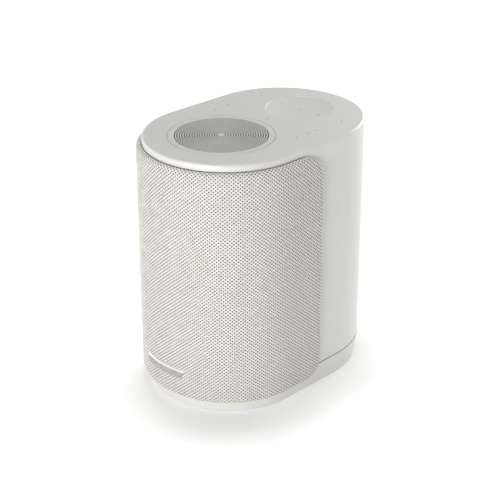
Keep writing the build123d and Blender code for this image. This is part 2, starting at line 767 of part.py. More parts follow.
# Chips, coils, capacitors and sockets: (x, z, width, height, depth).
board_blocks = [
    (-18, 122, 14, 14, 1.4), (-18, 104, 10, 12, 1.1), (0, 76, 12, 12, 1.5),
    (-24, 50, 8, 8, 4.5), (-13, 50, 8, 8, 4.5), (24, 104, 6, 14, 6), (24, 84, 5, 10, 5),
]
with BuildPart() as board_components:
    for x, z, width, tall, depth in board_blocks:
        with BuildSketch(Plane.XZ.offset(-board_back)):
            with Locations((x, z)):
                Rectangle(width, tall)
        extrude(amount=-depth)
    with BuildSketch(Plane.XZ.offset(-board_back)):
        with Locations((8, 46), (19, 46), (19, 57)):
            Circle(4.5)
    extrude(amount=-11)
    # Ribbon sockets on both boards, and the indicator lamp.
    with BuildSketch(Plane.XZ.offset(-board_back)):
        with Locations((-8, 143)):
            Rectangle(11, 4)
    extrude(amount=-2.2)
    with BuildSketch(Plane.XY.offset(board_low)):
        with Locations((0, 51)):
            Rectangle(11, 5)
    extrude(amount=-3)
    with BuildSketch(Plane.XY.offset(mic_seat)):
        with Locations(led_point):
            Rectangle(2.0, 1.2)
    extrude(amount=0.8)
keep(board_components.part, "board_components")

with BuildPart() as radio_shield:
    with BuildSketch(Plane.XZ.offset(-board_back)):
        with Locations((12, 130)):
            Rectangle(26, 20)
    extrude(amount=-3)
    with BuildSketch(Plane.XZ.offset(-board_back)):
        with Locations((12, 130)):
            Rectangle(25, 19)
    extrude(amount=-2.7, mode=Mode.SUBTRACT)
keep(radio_shield.part, "radio_shield")

with BuildPart() as heat_sink:
    sink_face = board_back + 1.5
    with BuildSketch(Plane.XZ.offset(-sink_face)):
        with Locations((0, 76)):
            Rectangle(38, 28)
    extrude(amount=-3)
    with BuildSketch(Plane.XZ.offset(-sink_face - 3)):
        with Locations((0, 76)):
            with GridLocations(5.2, 0, 8, 1):
                Rectangle(1.4, 28)
    extrude(amount=-12)
keep(heat_sink.part, "heat_sink")

with BuildPart() as control_ribbon:
    with BuildSketch(Plane.YZ):
        with BuildLine() as run:
            FilletPolyline((51, 187), (51, 178), (68, 168), (70, 150), (70, 143), (63.8, 143),
                           radius=[5, 5, 4, 3])
        trace(run.line, line_width=0.4)
    extrude(amount=4, both=True)
keep(control_ribbon.part, "control_ribbon")

with BuildPart() as io_board:
    with BuildSketch(Plane.XZ.offset(-io_board_front - board_thick)):
        with Locations((0, 38)):
            Rectangle(30, 32)
    extrude(amount=board_thick)
keep(io_board.part, "io_board")

io_back = io_board_front + board_thick
inlet_mouth = rear_y(socket_z) - 0.6
with BuildPart() as power_socket:
    with BuildSketch(Plane.XZ.offset(-io_back)):
        with Locations((0, socket_z)):
            Rectangle(10, 10)
    extrude(amount=-9)
    with BuildSketch(Plane.XZ.offset(-io_back - 9)):
        with Locations((0, socket_z)):
            Circle(4.5)
    extrude(amount=-(inlet_mouth - io_back - 9))
    with BuildSketch(Plane.XZ.offset(-io_back - 2)):
        with Locations((0, socket_z)):
            Circle(3.1)
    extrude(amount=-20, mode=Mode.SUBTRACT)
keep(power_socket.part, "power_socket")

with BuildPart() as power_pin:
    with BuildSketch(Plane.XZ.offset(-io_back - 2)):
        with Locations((0, socket_z)):
            Circle(1.0)
    extrude(amount=-9)
    fillet(power_pin.edges().group_by(Axis.Y)[-1], radius=0.4)
keep(power_pin.part, "power_pin")

switch_front = io_back + 3.5
with BuildPart() as link_switch:
    with BuildSketch(Plane.XZ.offset(-io_back)):
        with Locations((0, button_z)):
            Rectangle(6, 6)
    extrude(amount=-3.5)
    with BuildSketch(Plane.XZ.offset(-switch_front)):
        with Locations((0, button_z)):
            Circle(1.9)
    extrude(amount=2.6, mode=Mode.SUBTRACT)
keep(link_switch.part, "link_switch")

plunger_front = switch_front + 0.9
with BuildPart() as switch_plunger:
    with BuildSketch(Plane.XZ.offset(-plunger_front)):
        with Locations((0, button_z)):
            Circle(1.6)
    extrude(amount=2.5)
keep(switch_plunger.part, "switch_plunger")

button_face = rear_y(button_z) + 0.4
with BuildPart() as link_button:
    with BuildSketch(Plane.XZ.offset(-plunger_front)):
        with Locations((0, button_z)):
            Circle(1.5)
    extrude(amount=-(84.5 - plunger_front))
    with BuildSketch(Plane.XZ.offset(-84.5)):
        with Locations((0, button_z)):
            Circle(4.6)
    extrude(amount=-1.2)
    with BuildSketch(Plane.XZ.offset(-84.5)):
        with Locations((0, button_z)):
            Circle(3.45)
    extrude(amount=-(button_face - 84.5))
    fillet(link_button.edges().group_by(Axis.Y)[-1], radius=0.5)
keep(link_button.part, "link_button")

# ---- fasteners and leads ----

with BuildPart() as base_screws:
    screw_seat = foot_thick + 3
    for points, reach in ((base_post_points, 32.0), (hood_post_points, 32.0)):
        with BuildSketch(Plane.XY.offset(screw_seat)):
            with Locations(*both_sides(points)):
                Circle(2.9)
        extrude(amount=-2)
        with BuildSketch(Plane.XY.offset(screw_seat)):
            with Locations(*both_sides(points)):
                Circle(1.4)
        extrude(amount=reach - screw_seat)
keep(base_screws.part, "base_screws")

with BuildPart() as baffle_screws:
    with BuildSketch(Plane.XZ.offset(-baffle_front)):
        with Locations(*both_sides(baffle_screw_points)):
            Circle(2.6)
    extrude(amount=1.7)
    with BuildSketch(Plane.XZ.offset(-baffle_front)):
        with Locations(*both_sides(baffle_screw_points)):
            Circle(1.3)
    extrude(amount=-13)
keep(baffle_screws.part, "baffle_screws")
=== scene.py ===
import json
import math

import bmesh
import bpy
from bpy.props import FloatProperty, FloatVectorProperty, PointerProperty
from bpy.types import Operator, Panel, PropertyGroup
from mathutils import Matrix, Vector


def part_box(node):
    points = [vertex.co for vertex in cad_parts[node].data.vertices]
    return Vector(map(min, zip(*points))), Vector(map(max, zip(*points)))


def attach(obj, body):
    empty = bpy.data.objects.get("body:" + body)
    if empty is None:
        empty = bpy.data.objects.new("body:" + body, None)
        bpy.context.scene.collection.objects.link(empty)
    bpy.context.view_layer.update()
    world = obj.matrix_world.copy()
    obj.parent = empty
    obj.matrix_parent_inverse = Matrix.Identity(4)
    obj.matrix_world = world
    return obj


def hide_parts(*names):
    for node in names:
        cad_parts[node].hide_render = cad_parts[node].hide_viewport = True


bl_info = {
    "name": "Shelf Speaker Finisher",
    "version": (1, 0, 0),
    "blender": (4, 5, 0),
    "location": "3D View > Sidebar > Speaker",
    "description": "Dresses a packed oval smart speaker: moulded housing, woven front and studio",
    "category": "Object",
}

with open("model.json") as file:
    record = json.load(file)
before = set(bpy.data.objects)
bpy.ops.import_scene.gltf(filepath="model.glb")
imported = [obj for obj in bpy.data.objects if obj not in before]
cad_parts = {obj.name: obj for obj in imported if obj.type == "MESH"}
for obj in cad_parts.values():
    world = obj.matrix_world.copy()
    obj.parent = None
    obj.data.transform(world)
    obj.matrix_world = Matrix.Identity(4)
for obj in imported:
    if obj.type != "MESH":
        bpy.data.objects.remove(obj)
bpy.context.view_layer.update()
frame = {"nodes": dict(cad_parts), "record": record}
SLOT_OF = {row["node"]: row["material_slot"] for row in frame["record"]["subparts"]}
MM = 0.001

# Plan outline: two half circles joined by straight sides, drawing in a little towards the top.
HOOD_LOW, HOOD_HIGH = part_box("hood")
CLOTH_LOW, CLOTH_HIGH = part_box("grille_cloth")
RING_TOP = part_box("top_grille")[1].z
BADGE_LOW, BADGE_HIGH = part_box("badge_plate")
HEIGHT = HOOD_HIGH.z
DRAFT = 1.42 / 200    # lost from the radius over the height, both in millimetres
ARC_OFFSET = HOOD_HIGH.y - HOOD_HIGH.x


def housing_radius(z):
    """End radius of the housing's plan outline at height z."""
    return HOOD_HIGH.x - DRAFT * (z - HOOD_LOW.z)


CLOTH_ROUND = 3.4 * MM
CLOTH_PROUD = CLOTH_HIGH.x - housing_radius(CLOTH_LOW.z + CLOTH_ROUND)


# ---------------------------------------------------------------- settings

def colour(label, text, value):
    return FloatVectorProperty(
        name=label, description=text, default=value, subtype="COLOR", size=3, min=0.0, max=1.0,
    )


def length(label, text, value):
    return FloatProperty(name=label, description=text, default=value, unit="LENGTH", precision=5)


class SpeakerShellSettings(PropertyGroup):
    """The moulded housing, its top and the trim on it."""

    plastic: colour("Housing plastic", "Warm white of the moulded housing", (0.632, 0.628, 0.600))
    print_ink: colour("Printed marks", "Grey of the small printed marks", (0.44, 0.44, 0.43))
    badge: colour("Badge plate", "Satin metal of the blank badge", (0.40, 0.40, 0.375))
    grain_size: length("Grain size", "Width of one grain of the fine moulded texture", 0.00035)


class SpeakerClothSettings(PropertyGroup):
    """The stretched woven cover of the front grille."""

    thread: colour("Thread", "Light yarn of the weave", (0.680, 0.658, 0.622))
    shade: colour("Gaps", "Shaded gaps between the yarns", (0.085, 0.082, 0.076))
    pitch_across: length("Pitch across", "Distance between upright yarns", 0.00156)
    pitch_up: length("Pitch up", "Distance between level yarns", 0.00136)
    relief: length("Relief", "How far a yarn's crown stands above the gaps", 0.00048)
    edge_round: length("Edge rounding", "Radius of the padded edge", CLOTH_ROUND)


class SpeakerStageSettings(PropertyGroup):
    """The studio round the speaker."""

    paper: colour("Paper", "White paper sweep", (0.90, 0.90, 0.90))
    distance: length("Camera distance", "From the middle of the speaker", 0.94182)
    sensor: FloatProperty(
        name="Sensor", description="Camera sensor width in millimetres", default=36.0, min=1.0,
    )
    focal: FloatProperty(
        name="Focal length", description="Camera focal length in millimetres", default=87.6,
        min=1.0,
    )
    azimuth: FloatProperty(
        name="Azimuth", description="Camera turn away from the front", subtype="ANGLE",
        default=math.radians(45.489),
    )
    elevation: FloatProperty(
        name="Elevation", description="Camera height above level", subtype="ANGLE",
        default=math.radians(26.48),
    )


# ---------------------------------------------------------------- small node helpers

class Wiring:
    """Adds nodes to one node tree and joins them."""

    def __init__(self, tree):
        self.tree = tree
        self.column = 0

    def add(self, kind, inputs=(), **settings):
        node = self.tree.nodes.new(kind)
        self.column += 1
        node.location = (180 * self.column, -60 * (self.column % 7))
        for key, value in settings.items():
            setattr(node, key, value)
        for key, value in dict(inputs).items():
            self.feed(node, key, value)
        return node

    def feed(self, node, key, value):
        socket = node.inputs[key]
        if isinstance(value, bpy.types.NodeSocket):
            self.tree.links.new(value, socket)
        else:
            socket.default_value = value

    def math(self, operation, first, second=0.0, third=0.0):
        node = self.add("ShaderNodeMath", operation=operation)
        for key, value in enumerate((first, second, third)):
            self.feed(node, key, value)
        return node.outputs[0]

    def blend(self, factor, first, second, mode="MIX"):
        node = self.add("ShaderNodeMix", data_type="RGBA", blend_type=mode)
        self.feed(node, 0, factor)
        self.feed(node, 6, first)
        self.feed(node, 7, second)
        return node.outputs[2]

    def remap(self, value, low, high, out_low, out_high):
        node = self.add("ShaderNodeMapRange", {
            "Value": value, "From Min": low, "From Max": high,
            "To Min": out_low, "To Max": out_high,
        })
        return node.outputs["Result"]


def rgba(value):
    return (value[0], value[1], value[2], 1.0)


def new_group(name, ins, outs):
    """An empty shader node group with named sockets."""
    group = bpy.data.node_groups.new(name, "ShaderNodeTree")
    kinds = {"value": "NodeSocketFloat", "colour": "NodeSocketColor", "vector": "NodeSocketVector"}
    for label, kind, default in ins:
        socket = group.interface.new_socket(label, in_out="INPUT", socket_type=kinds[kind])
        if default is not None:
            socket.default_value = default
    for label, kind in outs:
        group.interface.new_socket(label, in_out="OUTPUT", socket_type=kinds[kind])
    wires = Wiring(group)
    return group, wires, wires.add("NodeGroupInput"), wires.add("NodeGroupOutput")


def moulded_grain_group():
    """Fine spark-eroded grain with slow, faint colour drift and rare dust specks."""
    if "Moulded Grain" in bpy.data.node_groups:
        return bpy.data.node_groups["Moulded Grain"]
    group, wires, given, result = new_group(
        "Moulded Grain",
        [("Colour", "colour", (0.7, 0.7, 0.68, 1.0)), ("Grain Scale", "value", 2600.0),
         ("Roughness", "value", 0.5), ("Drift", "value", 0.03)],
        [("Colour", "colour"), ("Roughness", "value"), ("Height", "value")],
    )
    place = wires.add("ShaderNodeTexCoord").outputs["Object"]
    grain = wires.add("ShaderNodeTexNoise", {
        "Vector": place, "Scale": given.outputs["Grain Scale"], "Detail": 3.0, "Roughness": 0.6,
    }).outputs["Fac"]
    drift = wires.add("ShaderNodeTexNoise", {
        "Vector": place, "Scale": 22.0, "Detail": 2.0,
    }).outputs["Fac"]
    shift = wires.math("MULTIPLY", wires.math("SUBTRACT", drift, 0.5), given.outputs["Drift"])
    speck = wires.add("ShaderNodeTexVoronoi", {
        "Vector": place, "Scale": 900.0,
    }).outputs["Distance"]
    dust = wires.remap(speck, 0.0, 0.05, 0.03, 0.0)
    level = wires.math("SUBTRACT", wires.math("ADD", 1.0, shift), dust)
    tint = wires.add("ShaderNodeVectorMath", operation="SCALE")
    wires.feed(tint, 0, given.outputs["Colour"])
    wires.feed(tint, 3, level)
    rough = wires.math(
        "ADD", given.outputs["Roughness"],
        wires.math("MULTIPLY", wires.math("SUBTRACT", grain, 0.5), 0.10),
    )
    wires.feed(result, "Colour", tint.outputs[0])
    wires.feed(result, "Roughness", rough)
    wires.feed(result, "Height", grain)
    return group


def rubbed_edge_group():
    """A mask that is bright on convex edges, broken up by noise."""
    if "Rubbed Edge" in bpy.data.node_groups:
        return bpy.data.node_groups["Rubbed Edge"]
    group, wires, given, result = new_group(
        "Rubbed Edge",
        [("Amount", "value", 0.4), ("Break Up", "value", 160.0)],
        [("Mask", "value")],
    )
    geometry = wires.add("ShaderNodeNewGeometry")
    crest = wires.remap(geometry.outputs["Pointiness"], 0.51, 0.56, 0.0, 1.0)
    noise = wires.add("ShaderNodeTexNoise", {
        "Vector": wires.add("ShaderNodeTexCoord").outputs["Object"],
        "Scale": given.outputs["Break Up"], "Detail": 4.0,
    }).outputs["Fac"]
    mask = wires.math("MULTIPLY", wires.math("MULTIPLY", crest, noise), given.outputs["Amount"])
    wires.feed(result, "Mask", mask)
    return group


def place_group(wires, group, values=()):
    return wires.add("ShaderNodeGroup", values, node_tree=group)


def start_material(name):
    material = bpy.data.materials.new(name)
    material.use_nodes = True
    material.node_tree.nodes.clear()
    wires = Wiring(material.node_tree)
    shader = wires.add("ShaderNodeBsdfPrincipled")
    output = wires.add("ShaderNodeOutputMaterial")
    wires.feed(output, "Surface", shader.outputs["BSDF"])
    return material, wires, shader


def add_bump(wires, shader, height, distance):
    bump = wires.add("ShaderNodeBump", {"Height": height, "Distance": distance, "Strength": 1.0})
    wires.feed(shader, "Normal", bump.outputs["Normal"])


def painted_slot_shade(wires, base, tint, top):
    """The base colour with painted shade just below height top, standing in for the shade on the
    walls of the slots.
    """
    shaded_from, plain_from, slot_shade_tone = 0.30 * MM, 0.06 * MM, 0.16
    split = wires.add("ShaderNodeSeparateXYZ", {
        "Vector": wires.add("ShaderNodeNewGeometry").outputs["Position"],
    })
    level = wires.remap(split.outputs["Z"], top - shaded_from, top - plain_from, 0.0, 1.0)
    # Painted shade: the colour turns dark below the top, where the slot walls lie in shade.
    slot_shade_colour = tuple(channel * slot_shade_tone for channel in tint)
    return wires.blend(level, rgba(slot_shade_colour), base)


def moulded_plastic(name, tint, roughness=0.5, grain_scale=2600.0, drift=0.03,
                    bump=0.00002, wear=0.0, coat=0.0, slot_shade_below=None):
    """Plastic, paper or rubber with a fine grain and, where asked, rubbed edges or painted shade in
    slots.
    """
    material, wires, shader = start_material(name)
    grain = place_group(wires, moulded_grain_group(), {
        "Colour": rgba(tint), "Grain Scale": grain_scale, "Roughness": roughness, "Drift": drift,
    })
    base = grain.outputs["Colour"]
    if wear:
        edge = place_group(wires, rubbed_edge_group(), {"Amount": wear})
        lighter = tuple(min(1.0, channel * 1.25 + 0.03) for channel in tint)
        base = wires.blend(edge.outputs["Mask"], base, rgba(lighter))
    # Painted shade on the slot walls below the given height.
    if slot_shade_below is not None:
        base = painted_slot_shade(wires, base, tint, slot_shade_below)
    wires.feed(shader, "Base Color", base)
    wires.feed(shader, "Roughness", grain.outputs["Roughness"])
    add_bump(wires, shader, grain.outputs["Height"], bump)
    shader.inputs["Coat Weight"].default_value = coat
    return material


def worked_metal(name, tint, roughness=0.35, brush=(900.0, 40.0, 40.0), wear=0.3):
    """Brushed, plated or cast metal; the brushing runs across the longest stretch."""
    material, wires, shader = start_material(name)
    place = wires.add("ShaderNodeTexCoord").outputs["Object"]
    stretch = wires.add("ShaderNodeMapping", {"Vector": place})
    stretch.inputs["Scale"].default_value = brush
    lines = wires.add("ShaderNodeTexNoise", {
        "Vector": stretch.outputs["Vector"], "Scale": 6.0, "Detail": 5.0, "Roughness": 0.7,
    }).outputs["Fac"]
    edge = place_group(wires, rubbed_edge_group(), {"Amount": wear})
    darker = tuple(channel * 0.82 for channel in tint)
    streaks = wires.blend(lines, rgba(darker), rgba(tint))
    polished = tuple(min(1.0, channel * 1.2 + 0.05) for channel in tint)
    wires.feed(shader, "Base Color", wires.blend(edge.outputs["Mask"], streaks, rgba(polished)))
    wires.feed(shader, "Roughness", wires.remap(lines, 0.2, 0.8, roughness - 0.08, roughness + 0.1))
    shader.inputs["Metallic"].default_value = 1.0
    add_bump(wires, shader, lines, 0.00002)
    return material


def satin_metal(name, tint, mottle):
    """Bead-blasted, half-dull metal with soft blotches of darker oxide."""
    material, wires, shader = start_material(name)
    place = wires.add("ShaderNodeTexCoord").outputs["Object"]
    blotch = wires.add("ShaderNodeTexNoise", {
        "Vector": place, "Scale": 420.0, "Detail": 3.0, "Roughness": 0.65,
    }).outputs["Fac"]
    darker = tuple(channel * (1.0 - mottle) for channel in tint)
    patchy = wires.remap(blotch, 0.38, 0.62, 0.0, 1.0)
    wires.feed(shader, "Base Color", wires.blend(patchy, rgba(darker), rgba(tint)))
    wires.feed(shader, "Roughness", wires.remap(blotch, 0.3, 0.7, 0.38, 0.5))
    shader.inputs["Metallic"].default_value = 0.2
    add_bump(wires, shader, blotch, 0.00003)
    return material


def circuit_laminate(name, tint):
    """Solder mask with copper tracks showing faintly through it."""
    material, wires, shader = start_material(name)
    place = wires.add("ShaderNodeTexCoord").outputs["Object"]
    tracks = wires.add("ShaderNodeTexBrick", {
        "Vector": place, "Scale": 260.0, "Mortar Size": 0.012, "Bias": 0.2,
        "Color1": rgba(tint), "Color2": rgba(tuple(c * 0.9 for c in tint)),
        "Mortar": rgba(tuple(min(1.0, c * 1.7 + 0.02) for c in tint)),
    })
    grain = place_group(wires, moulded_grain_group(), {
        "Colour": tracks.outputs["Color"], "Grain Scale": 3000.0, "Roughness": 0.35, "Drift": 0.1,
    })
    wires.feed(shader, "Base Color", grain.outputs["Colour"])
    wires.feed(shader, "Roughness", grain.outputs["Roughness"])
    add_bump(wires, shader, tracks.outputs["Fac"], 0.00003)
    return material


def fine_textile(name, tint, scale=1500.0, roughness=0.9):
    """Small woven or felted cloth inside the speaker."""
    material, wires, shader = start_material(name)
    place = wires.add("ShaderNodeTexCoord").outputs["Object"]
    cells = wires.add("ShaderNodeTexVoronoi", {"Vector": place, "Scale": scale})
    gaps = tuple(channel * 0.45 for channel in tint)
    base = wires.blend(cells.outputs["Distance"], rgba(tint), rgba(gaps))
    wires.feed(shader, "Base Color", base)
    shader.inputs["Roughness"].default_value = roughness
    shader.inputs["Sheen Weight"].default_value = 0.3
    add_bump(wires, shader, cells.outputs["Distance"], 0.0001)
    return material


def frosted_guide(name, tint):
    """Clear light guide with a frosted end."""
    material, wires, shader = start_material(name)
    grain = place_group(wires, moulded_grain_group(), {
        "Colour": rgba(tint), "Grain Scale": 4000.0, "Roughness": 0.35, "Drift": 0.02,
    })
    wires.feed(shader, "Base Color", grain.outputs["Colour"])
    wires.feed(shader, "Roughness", grain.outputs["Roughness"])
    add_bump(wires, shader, grain.outputs["Height"], 0.00001)
    shader.inputs["Subsurface Weight"].default_value = 0.2
    shader.inputs["Subsurface Radius"].default_value = (0.002, 0.002, 0.002)
    return material


# ---------------------------------------------------------------- the woven cloth

# Where the weave's height pattern, from -1 to 1, reaches a gap's floor and its rim.
GAP_FLOOR, GAP_RIM = -0.80, -0.10
# The yarn's colour gives way to the gap's shade between these.
SHADE_FULL, SHADE_START = -0.62, -0.14


def weave_group():
    """A plain weave from the cloth's own coordinates: yarn shade, crown height and slub."""
    if "Plain Weave" in bpy.data.node_groups:
        return bpy.data.node_groups["Plain Weave"]
    group, wires, given, result = new_group(
        "Plain Weave",
        [("Place", "vector", None), ("Across", "value", 0.00156), ("Up", "value", 0.00136),
         ("Thread", "colour", (0.8, 0.77, 0.72, 1.0)), ("Gap", "colour", (0.24, 0.23, 0.21, 1.0))],
        [("Colour", "colour"), ("Height", "value"), ("Roughness", "value")],
    )
    split = wires.add("ShaderNodeSeparateXYZ", {"Vector": given.outputs["Place"]})
    wobble = wires.add("ShaderNodeTexNoise", {
        "Vector": given.outputs["Place"], "Scale": 120.0, "Detail": 2.0,
    }).outputs["Fac"]
    drift = wires.math("MULTIPLY", wires.math("SUBTRACT", wobble, 0.5), 0.3)
    columns = wires.math("DIVIDE", split.outputs["X"], given.outputs["Across"])
    rows = wires.math("DIVIDE", split.outputs["Y"], given.outputs["Up"])
    across = wires.math("ADD", columns, drift)
    up = wires.math("ADD", rows, drift)
    wave_across = wires.math("SINE", wires.math("MULTIPLY", across, math.pi))
    wave_up = wires.math("SINE", wires.math("MULTIPLY", up, math.pi))
    # Crowns and gaps sit in a quincunx: a gap wherever both waves have opposite signs.
    checks = wires.math("MULTIPLY", wave_across, wave_up)
    crown = wires.remap(checks, GAP_FLOOR, GAP_RIM, 0.0, 1.0)
    lit = wires.remap(checks, SHADE_FULL, SHADE_START, 0.0, 1.0)
    fibre = wires.add("ShaderNodeTexNoise", {
        "Vector": given.outputs["Place"], "Scale": 5200.0, "Detail": 2.0,
    }).outputs["Fac"]
    slub = wires.add("ShaderNodeTexNoise", {
        "Vector": given.outputs["Place"], "Scale": 420.0, "Detail": 3.0,
    }).outputs["Fac"]
    shade = wires.math("MULTIPLY", lit, wires.remap(slub, 0.3, 0.7, 0.82, 1.08))
    tone = wires.blend(shade, given.outputs["Gap"], given.outputs["Thread"])
    mottled = wires.add("ShaderNodeVectorMath", operation="SCALE")
    wires.feed(mottled, 0, tone)
    wires.feed(mottled, 3, wires.remap(fibre, 0.25, 0.75, 0.90, 1.08))
    height = wires.math("ADD", crown, wires.math("MULTIPLY", fibre, 0.25))
    wires.feed(result, "Colour", mottled.outputs[0])
    wires.feed(result, "Height", height)
    wires.feed(result, "Roughness", wires.remap(fibre, 0.2, 0.8, 0.86, 0.98))
    return group


def woven_cloth_material(cloth):
    material, wires, shader = start_material("grille_weave")
    place = wires.add("ShaderNodeAttribute", attribute_name="cloth_place")
    weave = place_group(wires, weave_group(), {
        "Place": place.outputs["Vector"], "Across": cloth.pitch_across, "Up": cloth.pitch_up,
        "Thread": rgba(cloth.thread), "Gap": rgba(cloth.shade),
    })
    wires.feed(shader, "Base Color", weave.outputs["Colour"])
    wires.feed(shader, "Roughness", weave.outputs["Roughness"])
    add_bump(wires, shader, weave.outputs["Height"], 0.00022)
    shader.inputs["Specular IOR Level"].default_value = 0.15
    shader.inputs["Sheen Weight"].default_value = 0.12
    shader.inputs["Sheen Roughness"].default_value = 0.5
    return material


class ClothPattern:
    """Flat pattern of the cover: a rounded panel in (across, up), wrapped round the grille."""

    CORNER_HIGH = 20.0 * MM
    CORNER_LOW = 14.5 * MM
    SIDE_PAD = 1.4 * MM    # the cover's side edges stand this far past the frame

    def __init__(self, edge_round):
        self.round = edge_round
        self.low, self.high = CLOTH_LOW.z, CLOTH_HIGH.z
        self.middle = (self.low + self.high) / 2
        self.half_tall = (self.high - self.low) / 2
        self.bend = housing_radius(self.middle) + CLOTH_PROUD
        self.arc = self.bend * math.pi / 2
        self.half_wide = self.arc + ARC_OFFSET + CLOTH_HIGH.y + self.SIDE_PAD
        self.wrap = edge_round * math.pi / 2 + CLOTH_PROUD - edge_round

    def depth(self, across, up):
        """Distance inside the panel's outline, and the outward direction there."""
        rise = up - self.middle
        corner = self.CORNER_HIGH if rise > 0 else self.CORNER_LOW
        x = abs(across) - self.half_wide + corner
        y = abs(rise) - self.half_tall + corner
        if x > 0 and y > 0:
            reach = math.hypot(x, y)
            way = (x / reach, y / reach)
            inside = corner - reach
        elif x > y:
            way, inside = (1.0, 0.0), corner - x
        else:
            way, inside = (0.0, 1.0), corner - y
        return inside, (math.copysign(way[0], across), math.copysign(way[1], rise))

    def wrapped(self, across, up):
        """Where a cloth point lies: place across, height, stand-off, and how far past the end."""
        inside, way = self.depth(across, up)
        past = self.round - inside
        if past <= 0:
            return across, up, CLOTH_PROUD, 0.0
        turn = min(past / self.round, math.pi / 2)
        drop = max(0.0, min(past, self.wrap) - self.round * math.pi / 2)
        shift = self.round * math.sin(turn) - past
        stand_off = CLOTH_PROUD - self.round * (1 - math.cos(turn)) - drop
        return across + way[0] * shift, up + way[1] * shift, stand_off, past - self.wrap

    def on_speaker(self, across, up, stand_off):
        """The point in space, on the housing's slot outline grown by stand_off."""
        radius = housing_radius(up) + stand_off
        if abs(across) < self.arc:
            angle = across / self.bend
            return Vector((radius * math.sin(angle), -ARC_OFFSET - radius * math.cos(angle), up))
        side = math.copysign(radius, across)
        return Vector((side, -ARC_OFFSET + abs(across) - self.arc, up))


def crown_height(across, up, cloth):
    """Relief of the plain weave, 0 in a gap and 1 on a crown."""
    wave_across = math.sin(math.pi * across / cloth.pitch_across)
    checks = wave_across * math.sin(math.pi * up / cloth.pitch_up)
    return min(1.0, max(0.0, (checks - GAP_FLOOR) / (GAP_RIM - GAP_FLOOR)))


def build_cloth(cloth):
    """The cover's mesh, with a few points to each yarn, and the flat size it is cut to."""
    points_per_yarn = 3
    least_stand_off = 0.25 * MM
    pattern = ClothPattern(cloth.edge_round)
    step_across = cloth.pitch_across / points_per_yarn
    step_up = cloth.pitch_up / points_per_yarn
    margin = 1.6 * max(step_across, step_up)
    half_columns = math.ceil((pattern.half_wide + pattern.wrap) / step_across)
    half_rows = math.ceil((pattern.half_tall + pattern.wrap) / step_up)
    mesh = bpy.data.meshes.new("grille_cover")
    places, points, index = [], [], {}
    for row in range(-half_rows, half_rows + 1):
        for column in range(-half_columns, half_columns + 1):
            across = column * step_across
            up = pattern.middle + row * step_up
            side, rise, stand_off, beyond = pattern.wrapped(across, up)
            if beyond > margin:
                continue
            relief = (crown_height(across, up, cloth) - 1.0) * cloth.relief
            lifted = max(stand_off + relief, least_stand_off)
            index[(row, column)] = len(points)
            points.append(pattern.on_speaker(side, rise, lifted))
            places.append((across, up, 0.0))
    quads = []
    for (row, column), first in index.items():
        corners = [(row, column + 1), (row + 1, column + 1), (row + 1, column)]
        if all(corner in index for corner in corners):
            quads.append((first, *(index[corner] for corner in corners)))
    used = sorted({corner for quad in quads for corner in quad})
    number = {corner: place for place, corner in enumerate(used)}
    places = [places[corner] for corner in used]
    mesh.from_pydata(
        [points[corner] for corner in used], [],
        [[number[corner] for corner in quad] for quad in quads],
    )
    mesh.update()
    attribute = mesh.attributes.new("cloth_place", "FLOAT_VECTOR", "POINT")
    attribute.data.foreach_set("vector", [value for place in places for value in place])
    mesh.polygons.foreach_set("use_smooth", [True] * len(mesh.polygons))
    cover = bpy.data.objects.new("grille_cover", mesh)
    bpy.context.scene.collection.objects.link(cover)
    flat = (2 * (pattern.half_wide + pattern.wrap), 2 * (pattern.half_tall + pattern.wrap))
    return cover, flat


class SPEAKER_OT_cloth(Operator):
    """Weave the stretched cover over the front grille"""

    bl_idname = "speaker.cloth"
    bl_label = "Weave Grille Cover"

    def execute(self, context):
        cloth = context.scene.speaker_cloth
        cover, flat = build_cloth(cloth)
        cover.data.materials.append(woven_cloth_material(cloth))
        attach(cover, "housing")
        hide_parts("grille_cloth")
        return {"FINISHED"}


# ---------------------------------------------------------------- housing and trim

def dress(names, material):
    """Puts a material into the CAD nodes' own slots."""
    for name in names:
        slots = frame["nodes"][name].data.materials
        if len(slots):
            for number in range(len(slots)):
                slots[number] = material
        else:
            slots.append(material)


class SPEAKER_OT_housing(Operator):
    """Give the housing, base, top grille, button and foot their moulded finish"""

    bl_idname = "speaker.housing"
    bl_label = "Finish Housing"

    def execute(self, context):
        shell = context.scene.speaker_shell
        scale = 1.0 / shell.grain_size
        plastic = moulded_plastic(
            "housing_plastic", shell.plastic, roughness=0.44, grain_scale=scale, bump=0.00002,
        )
        dress(["hood", "base_cover", "link_button"], plastic)
        # The ring grille's slot walls get painted shade below its top face.
        rings = moulded_plastic(
            "grille_rings", shell.plastic, roughness=0.42, grain_scale=scale,
            slot_shade_below=RING_TOP,
        )
        dress(["top_grille"], rings)
        foot = moulded_plastic(
            "foot_rubber", (0.03, 0.03, 0.03), roughness=0.75, grain_scale=1800.0, bump=0.00005,
        )
        dress(["rubber_foot"], foot)
        return {"FINISHED"}


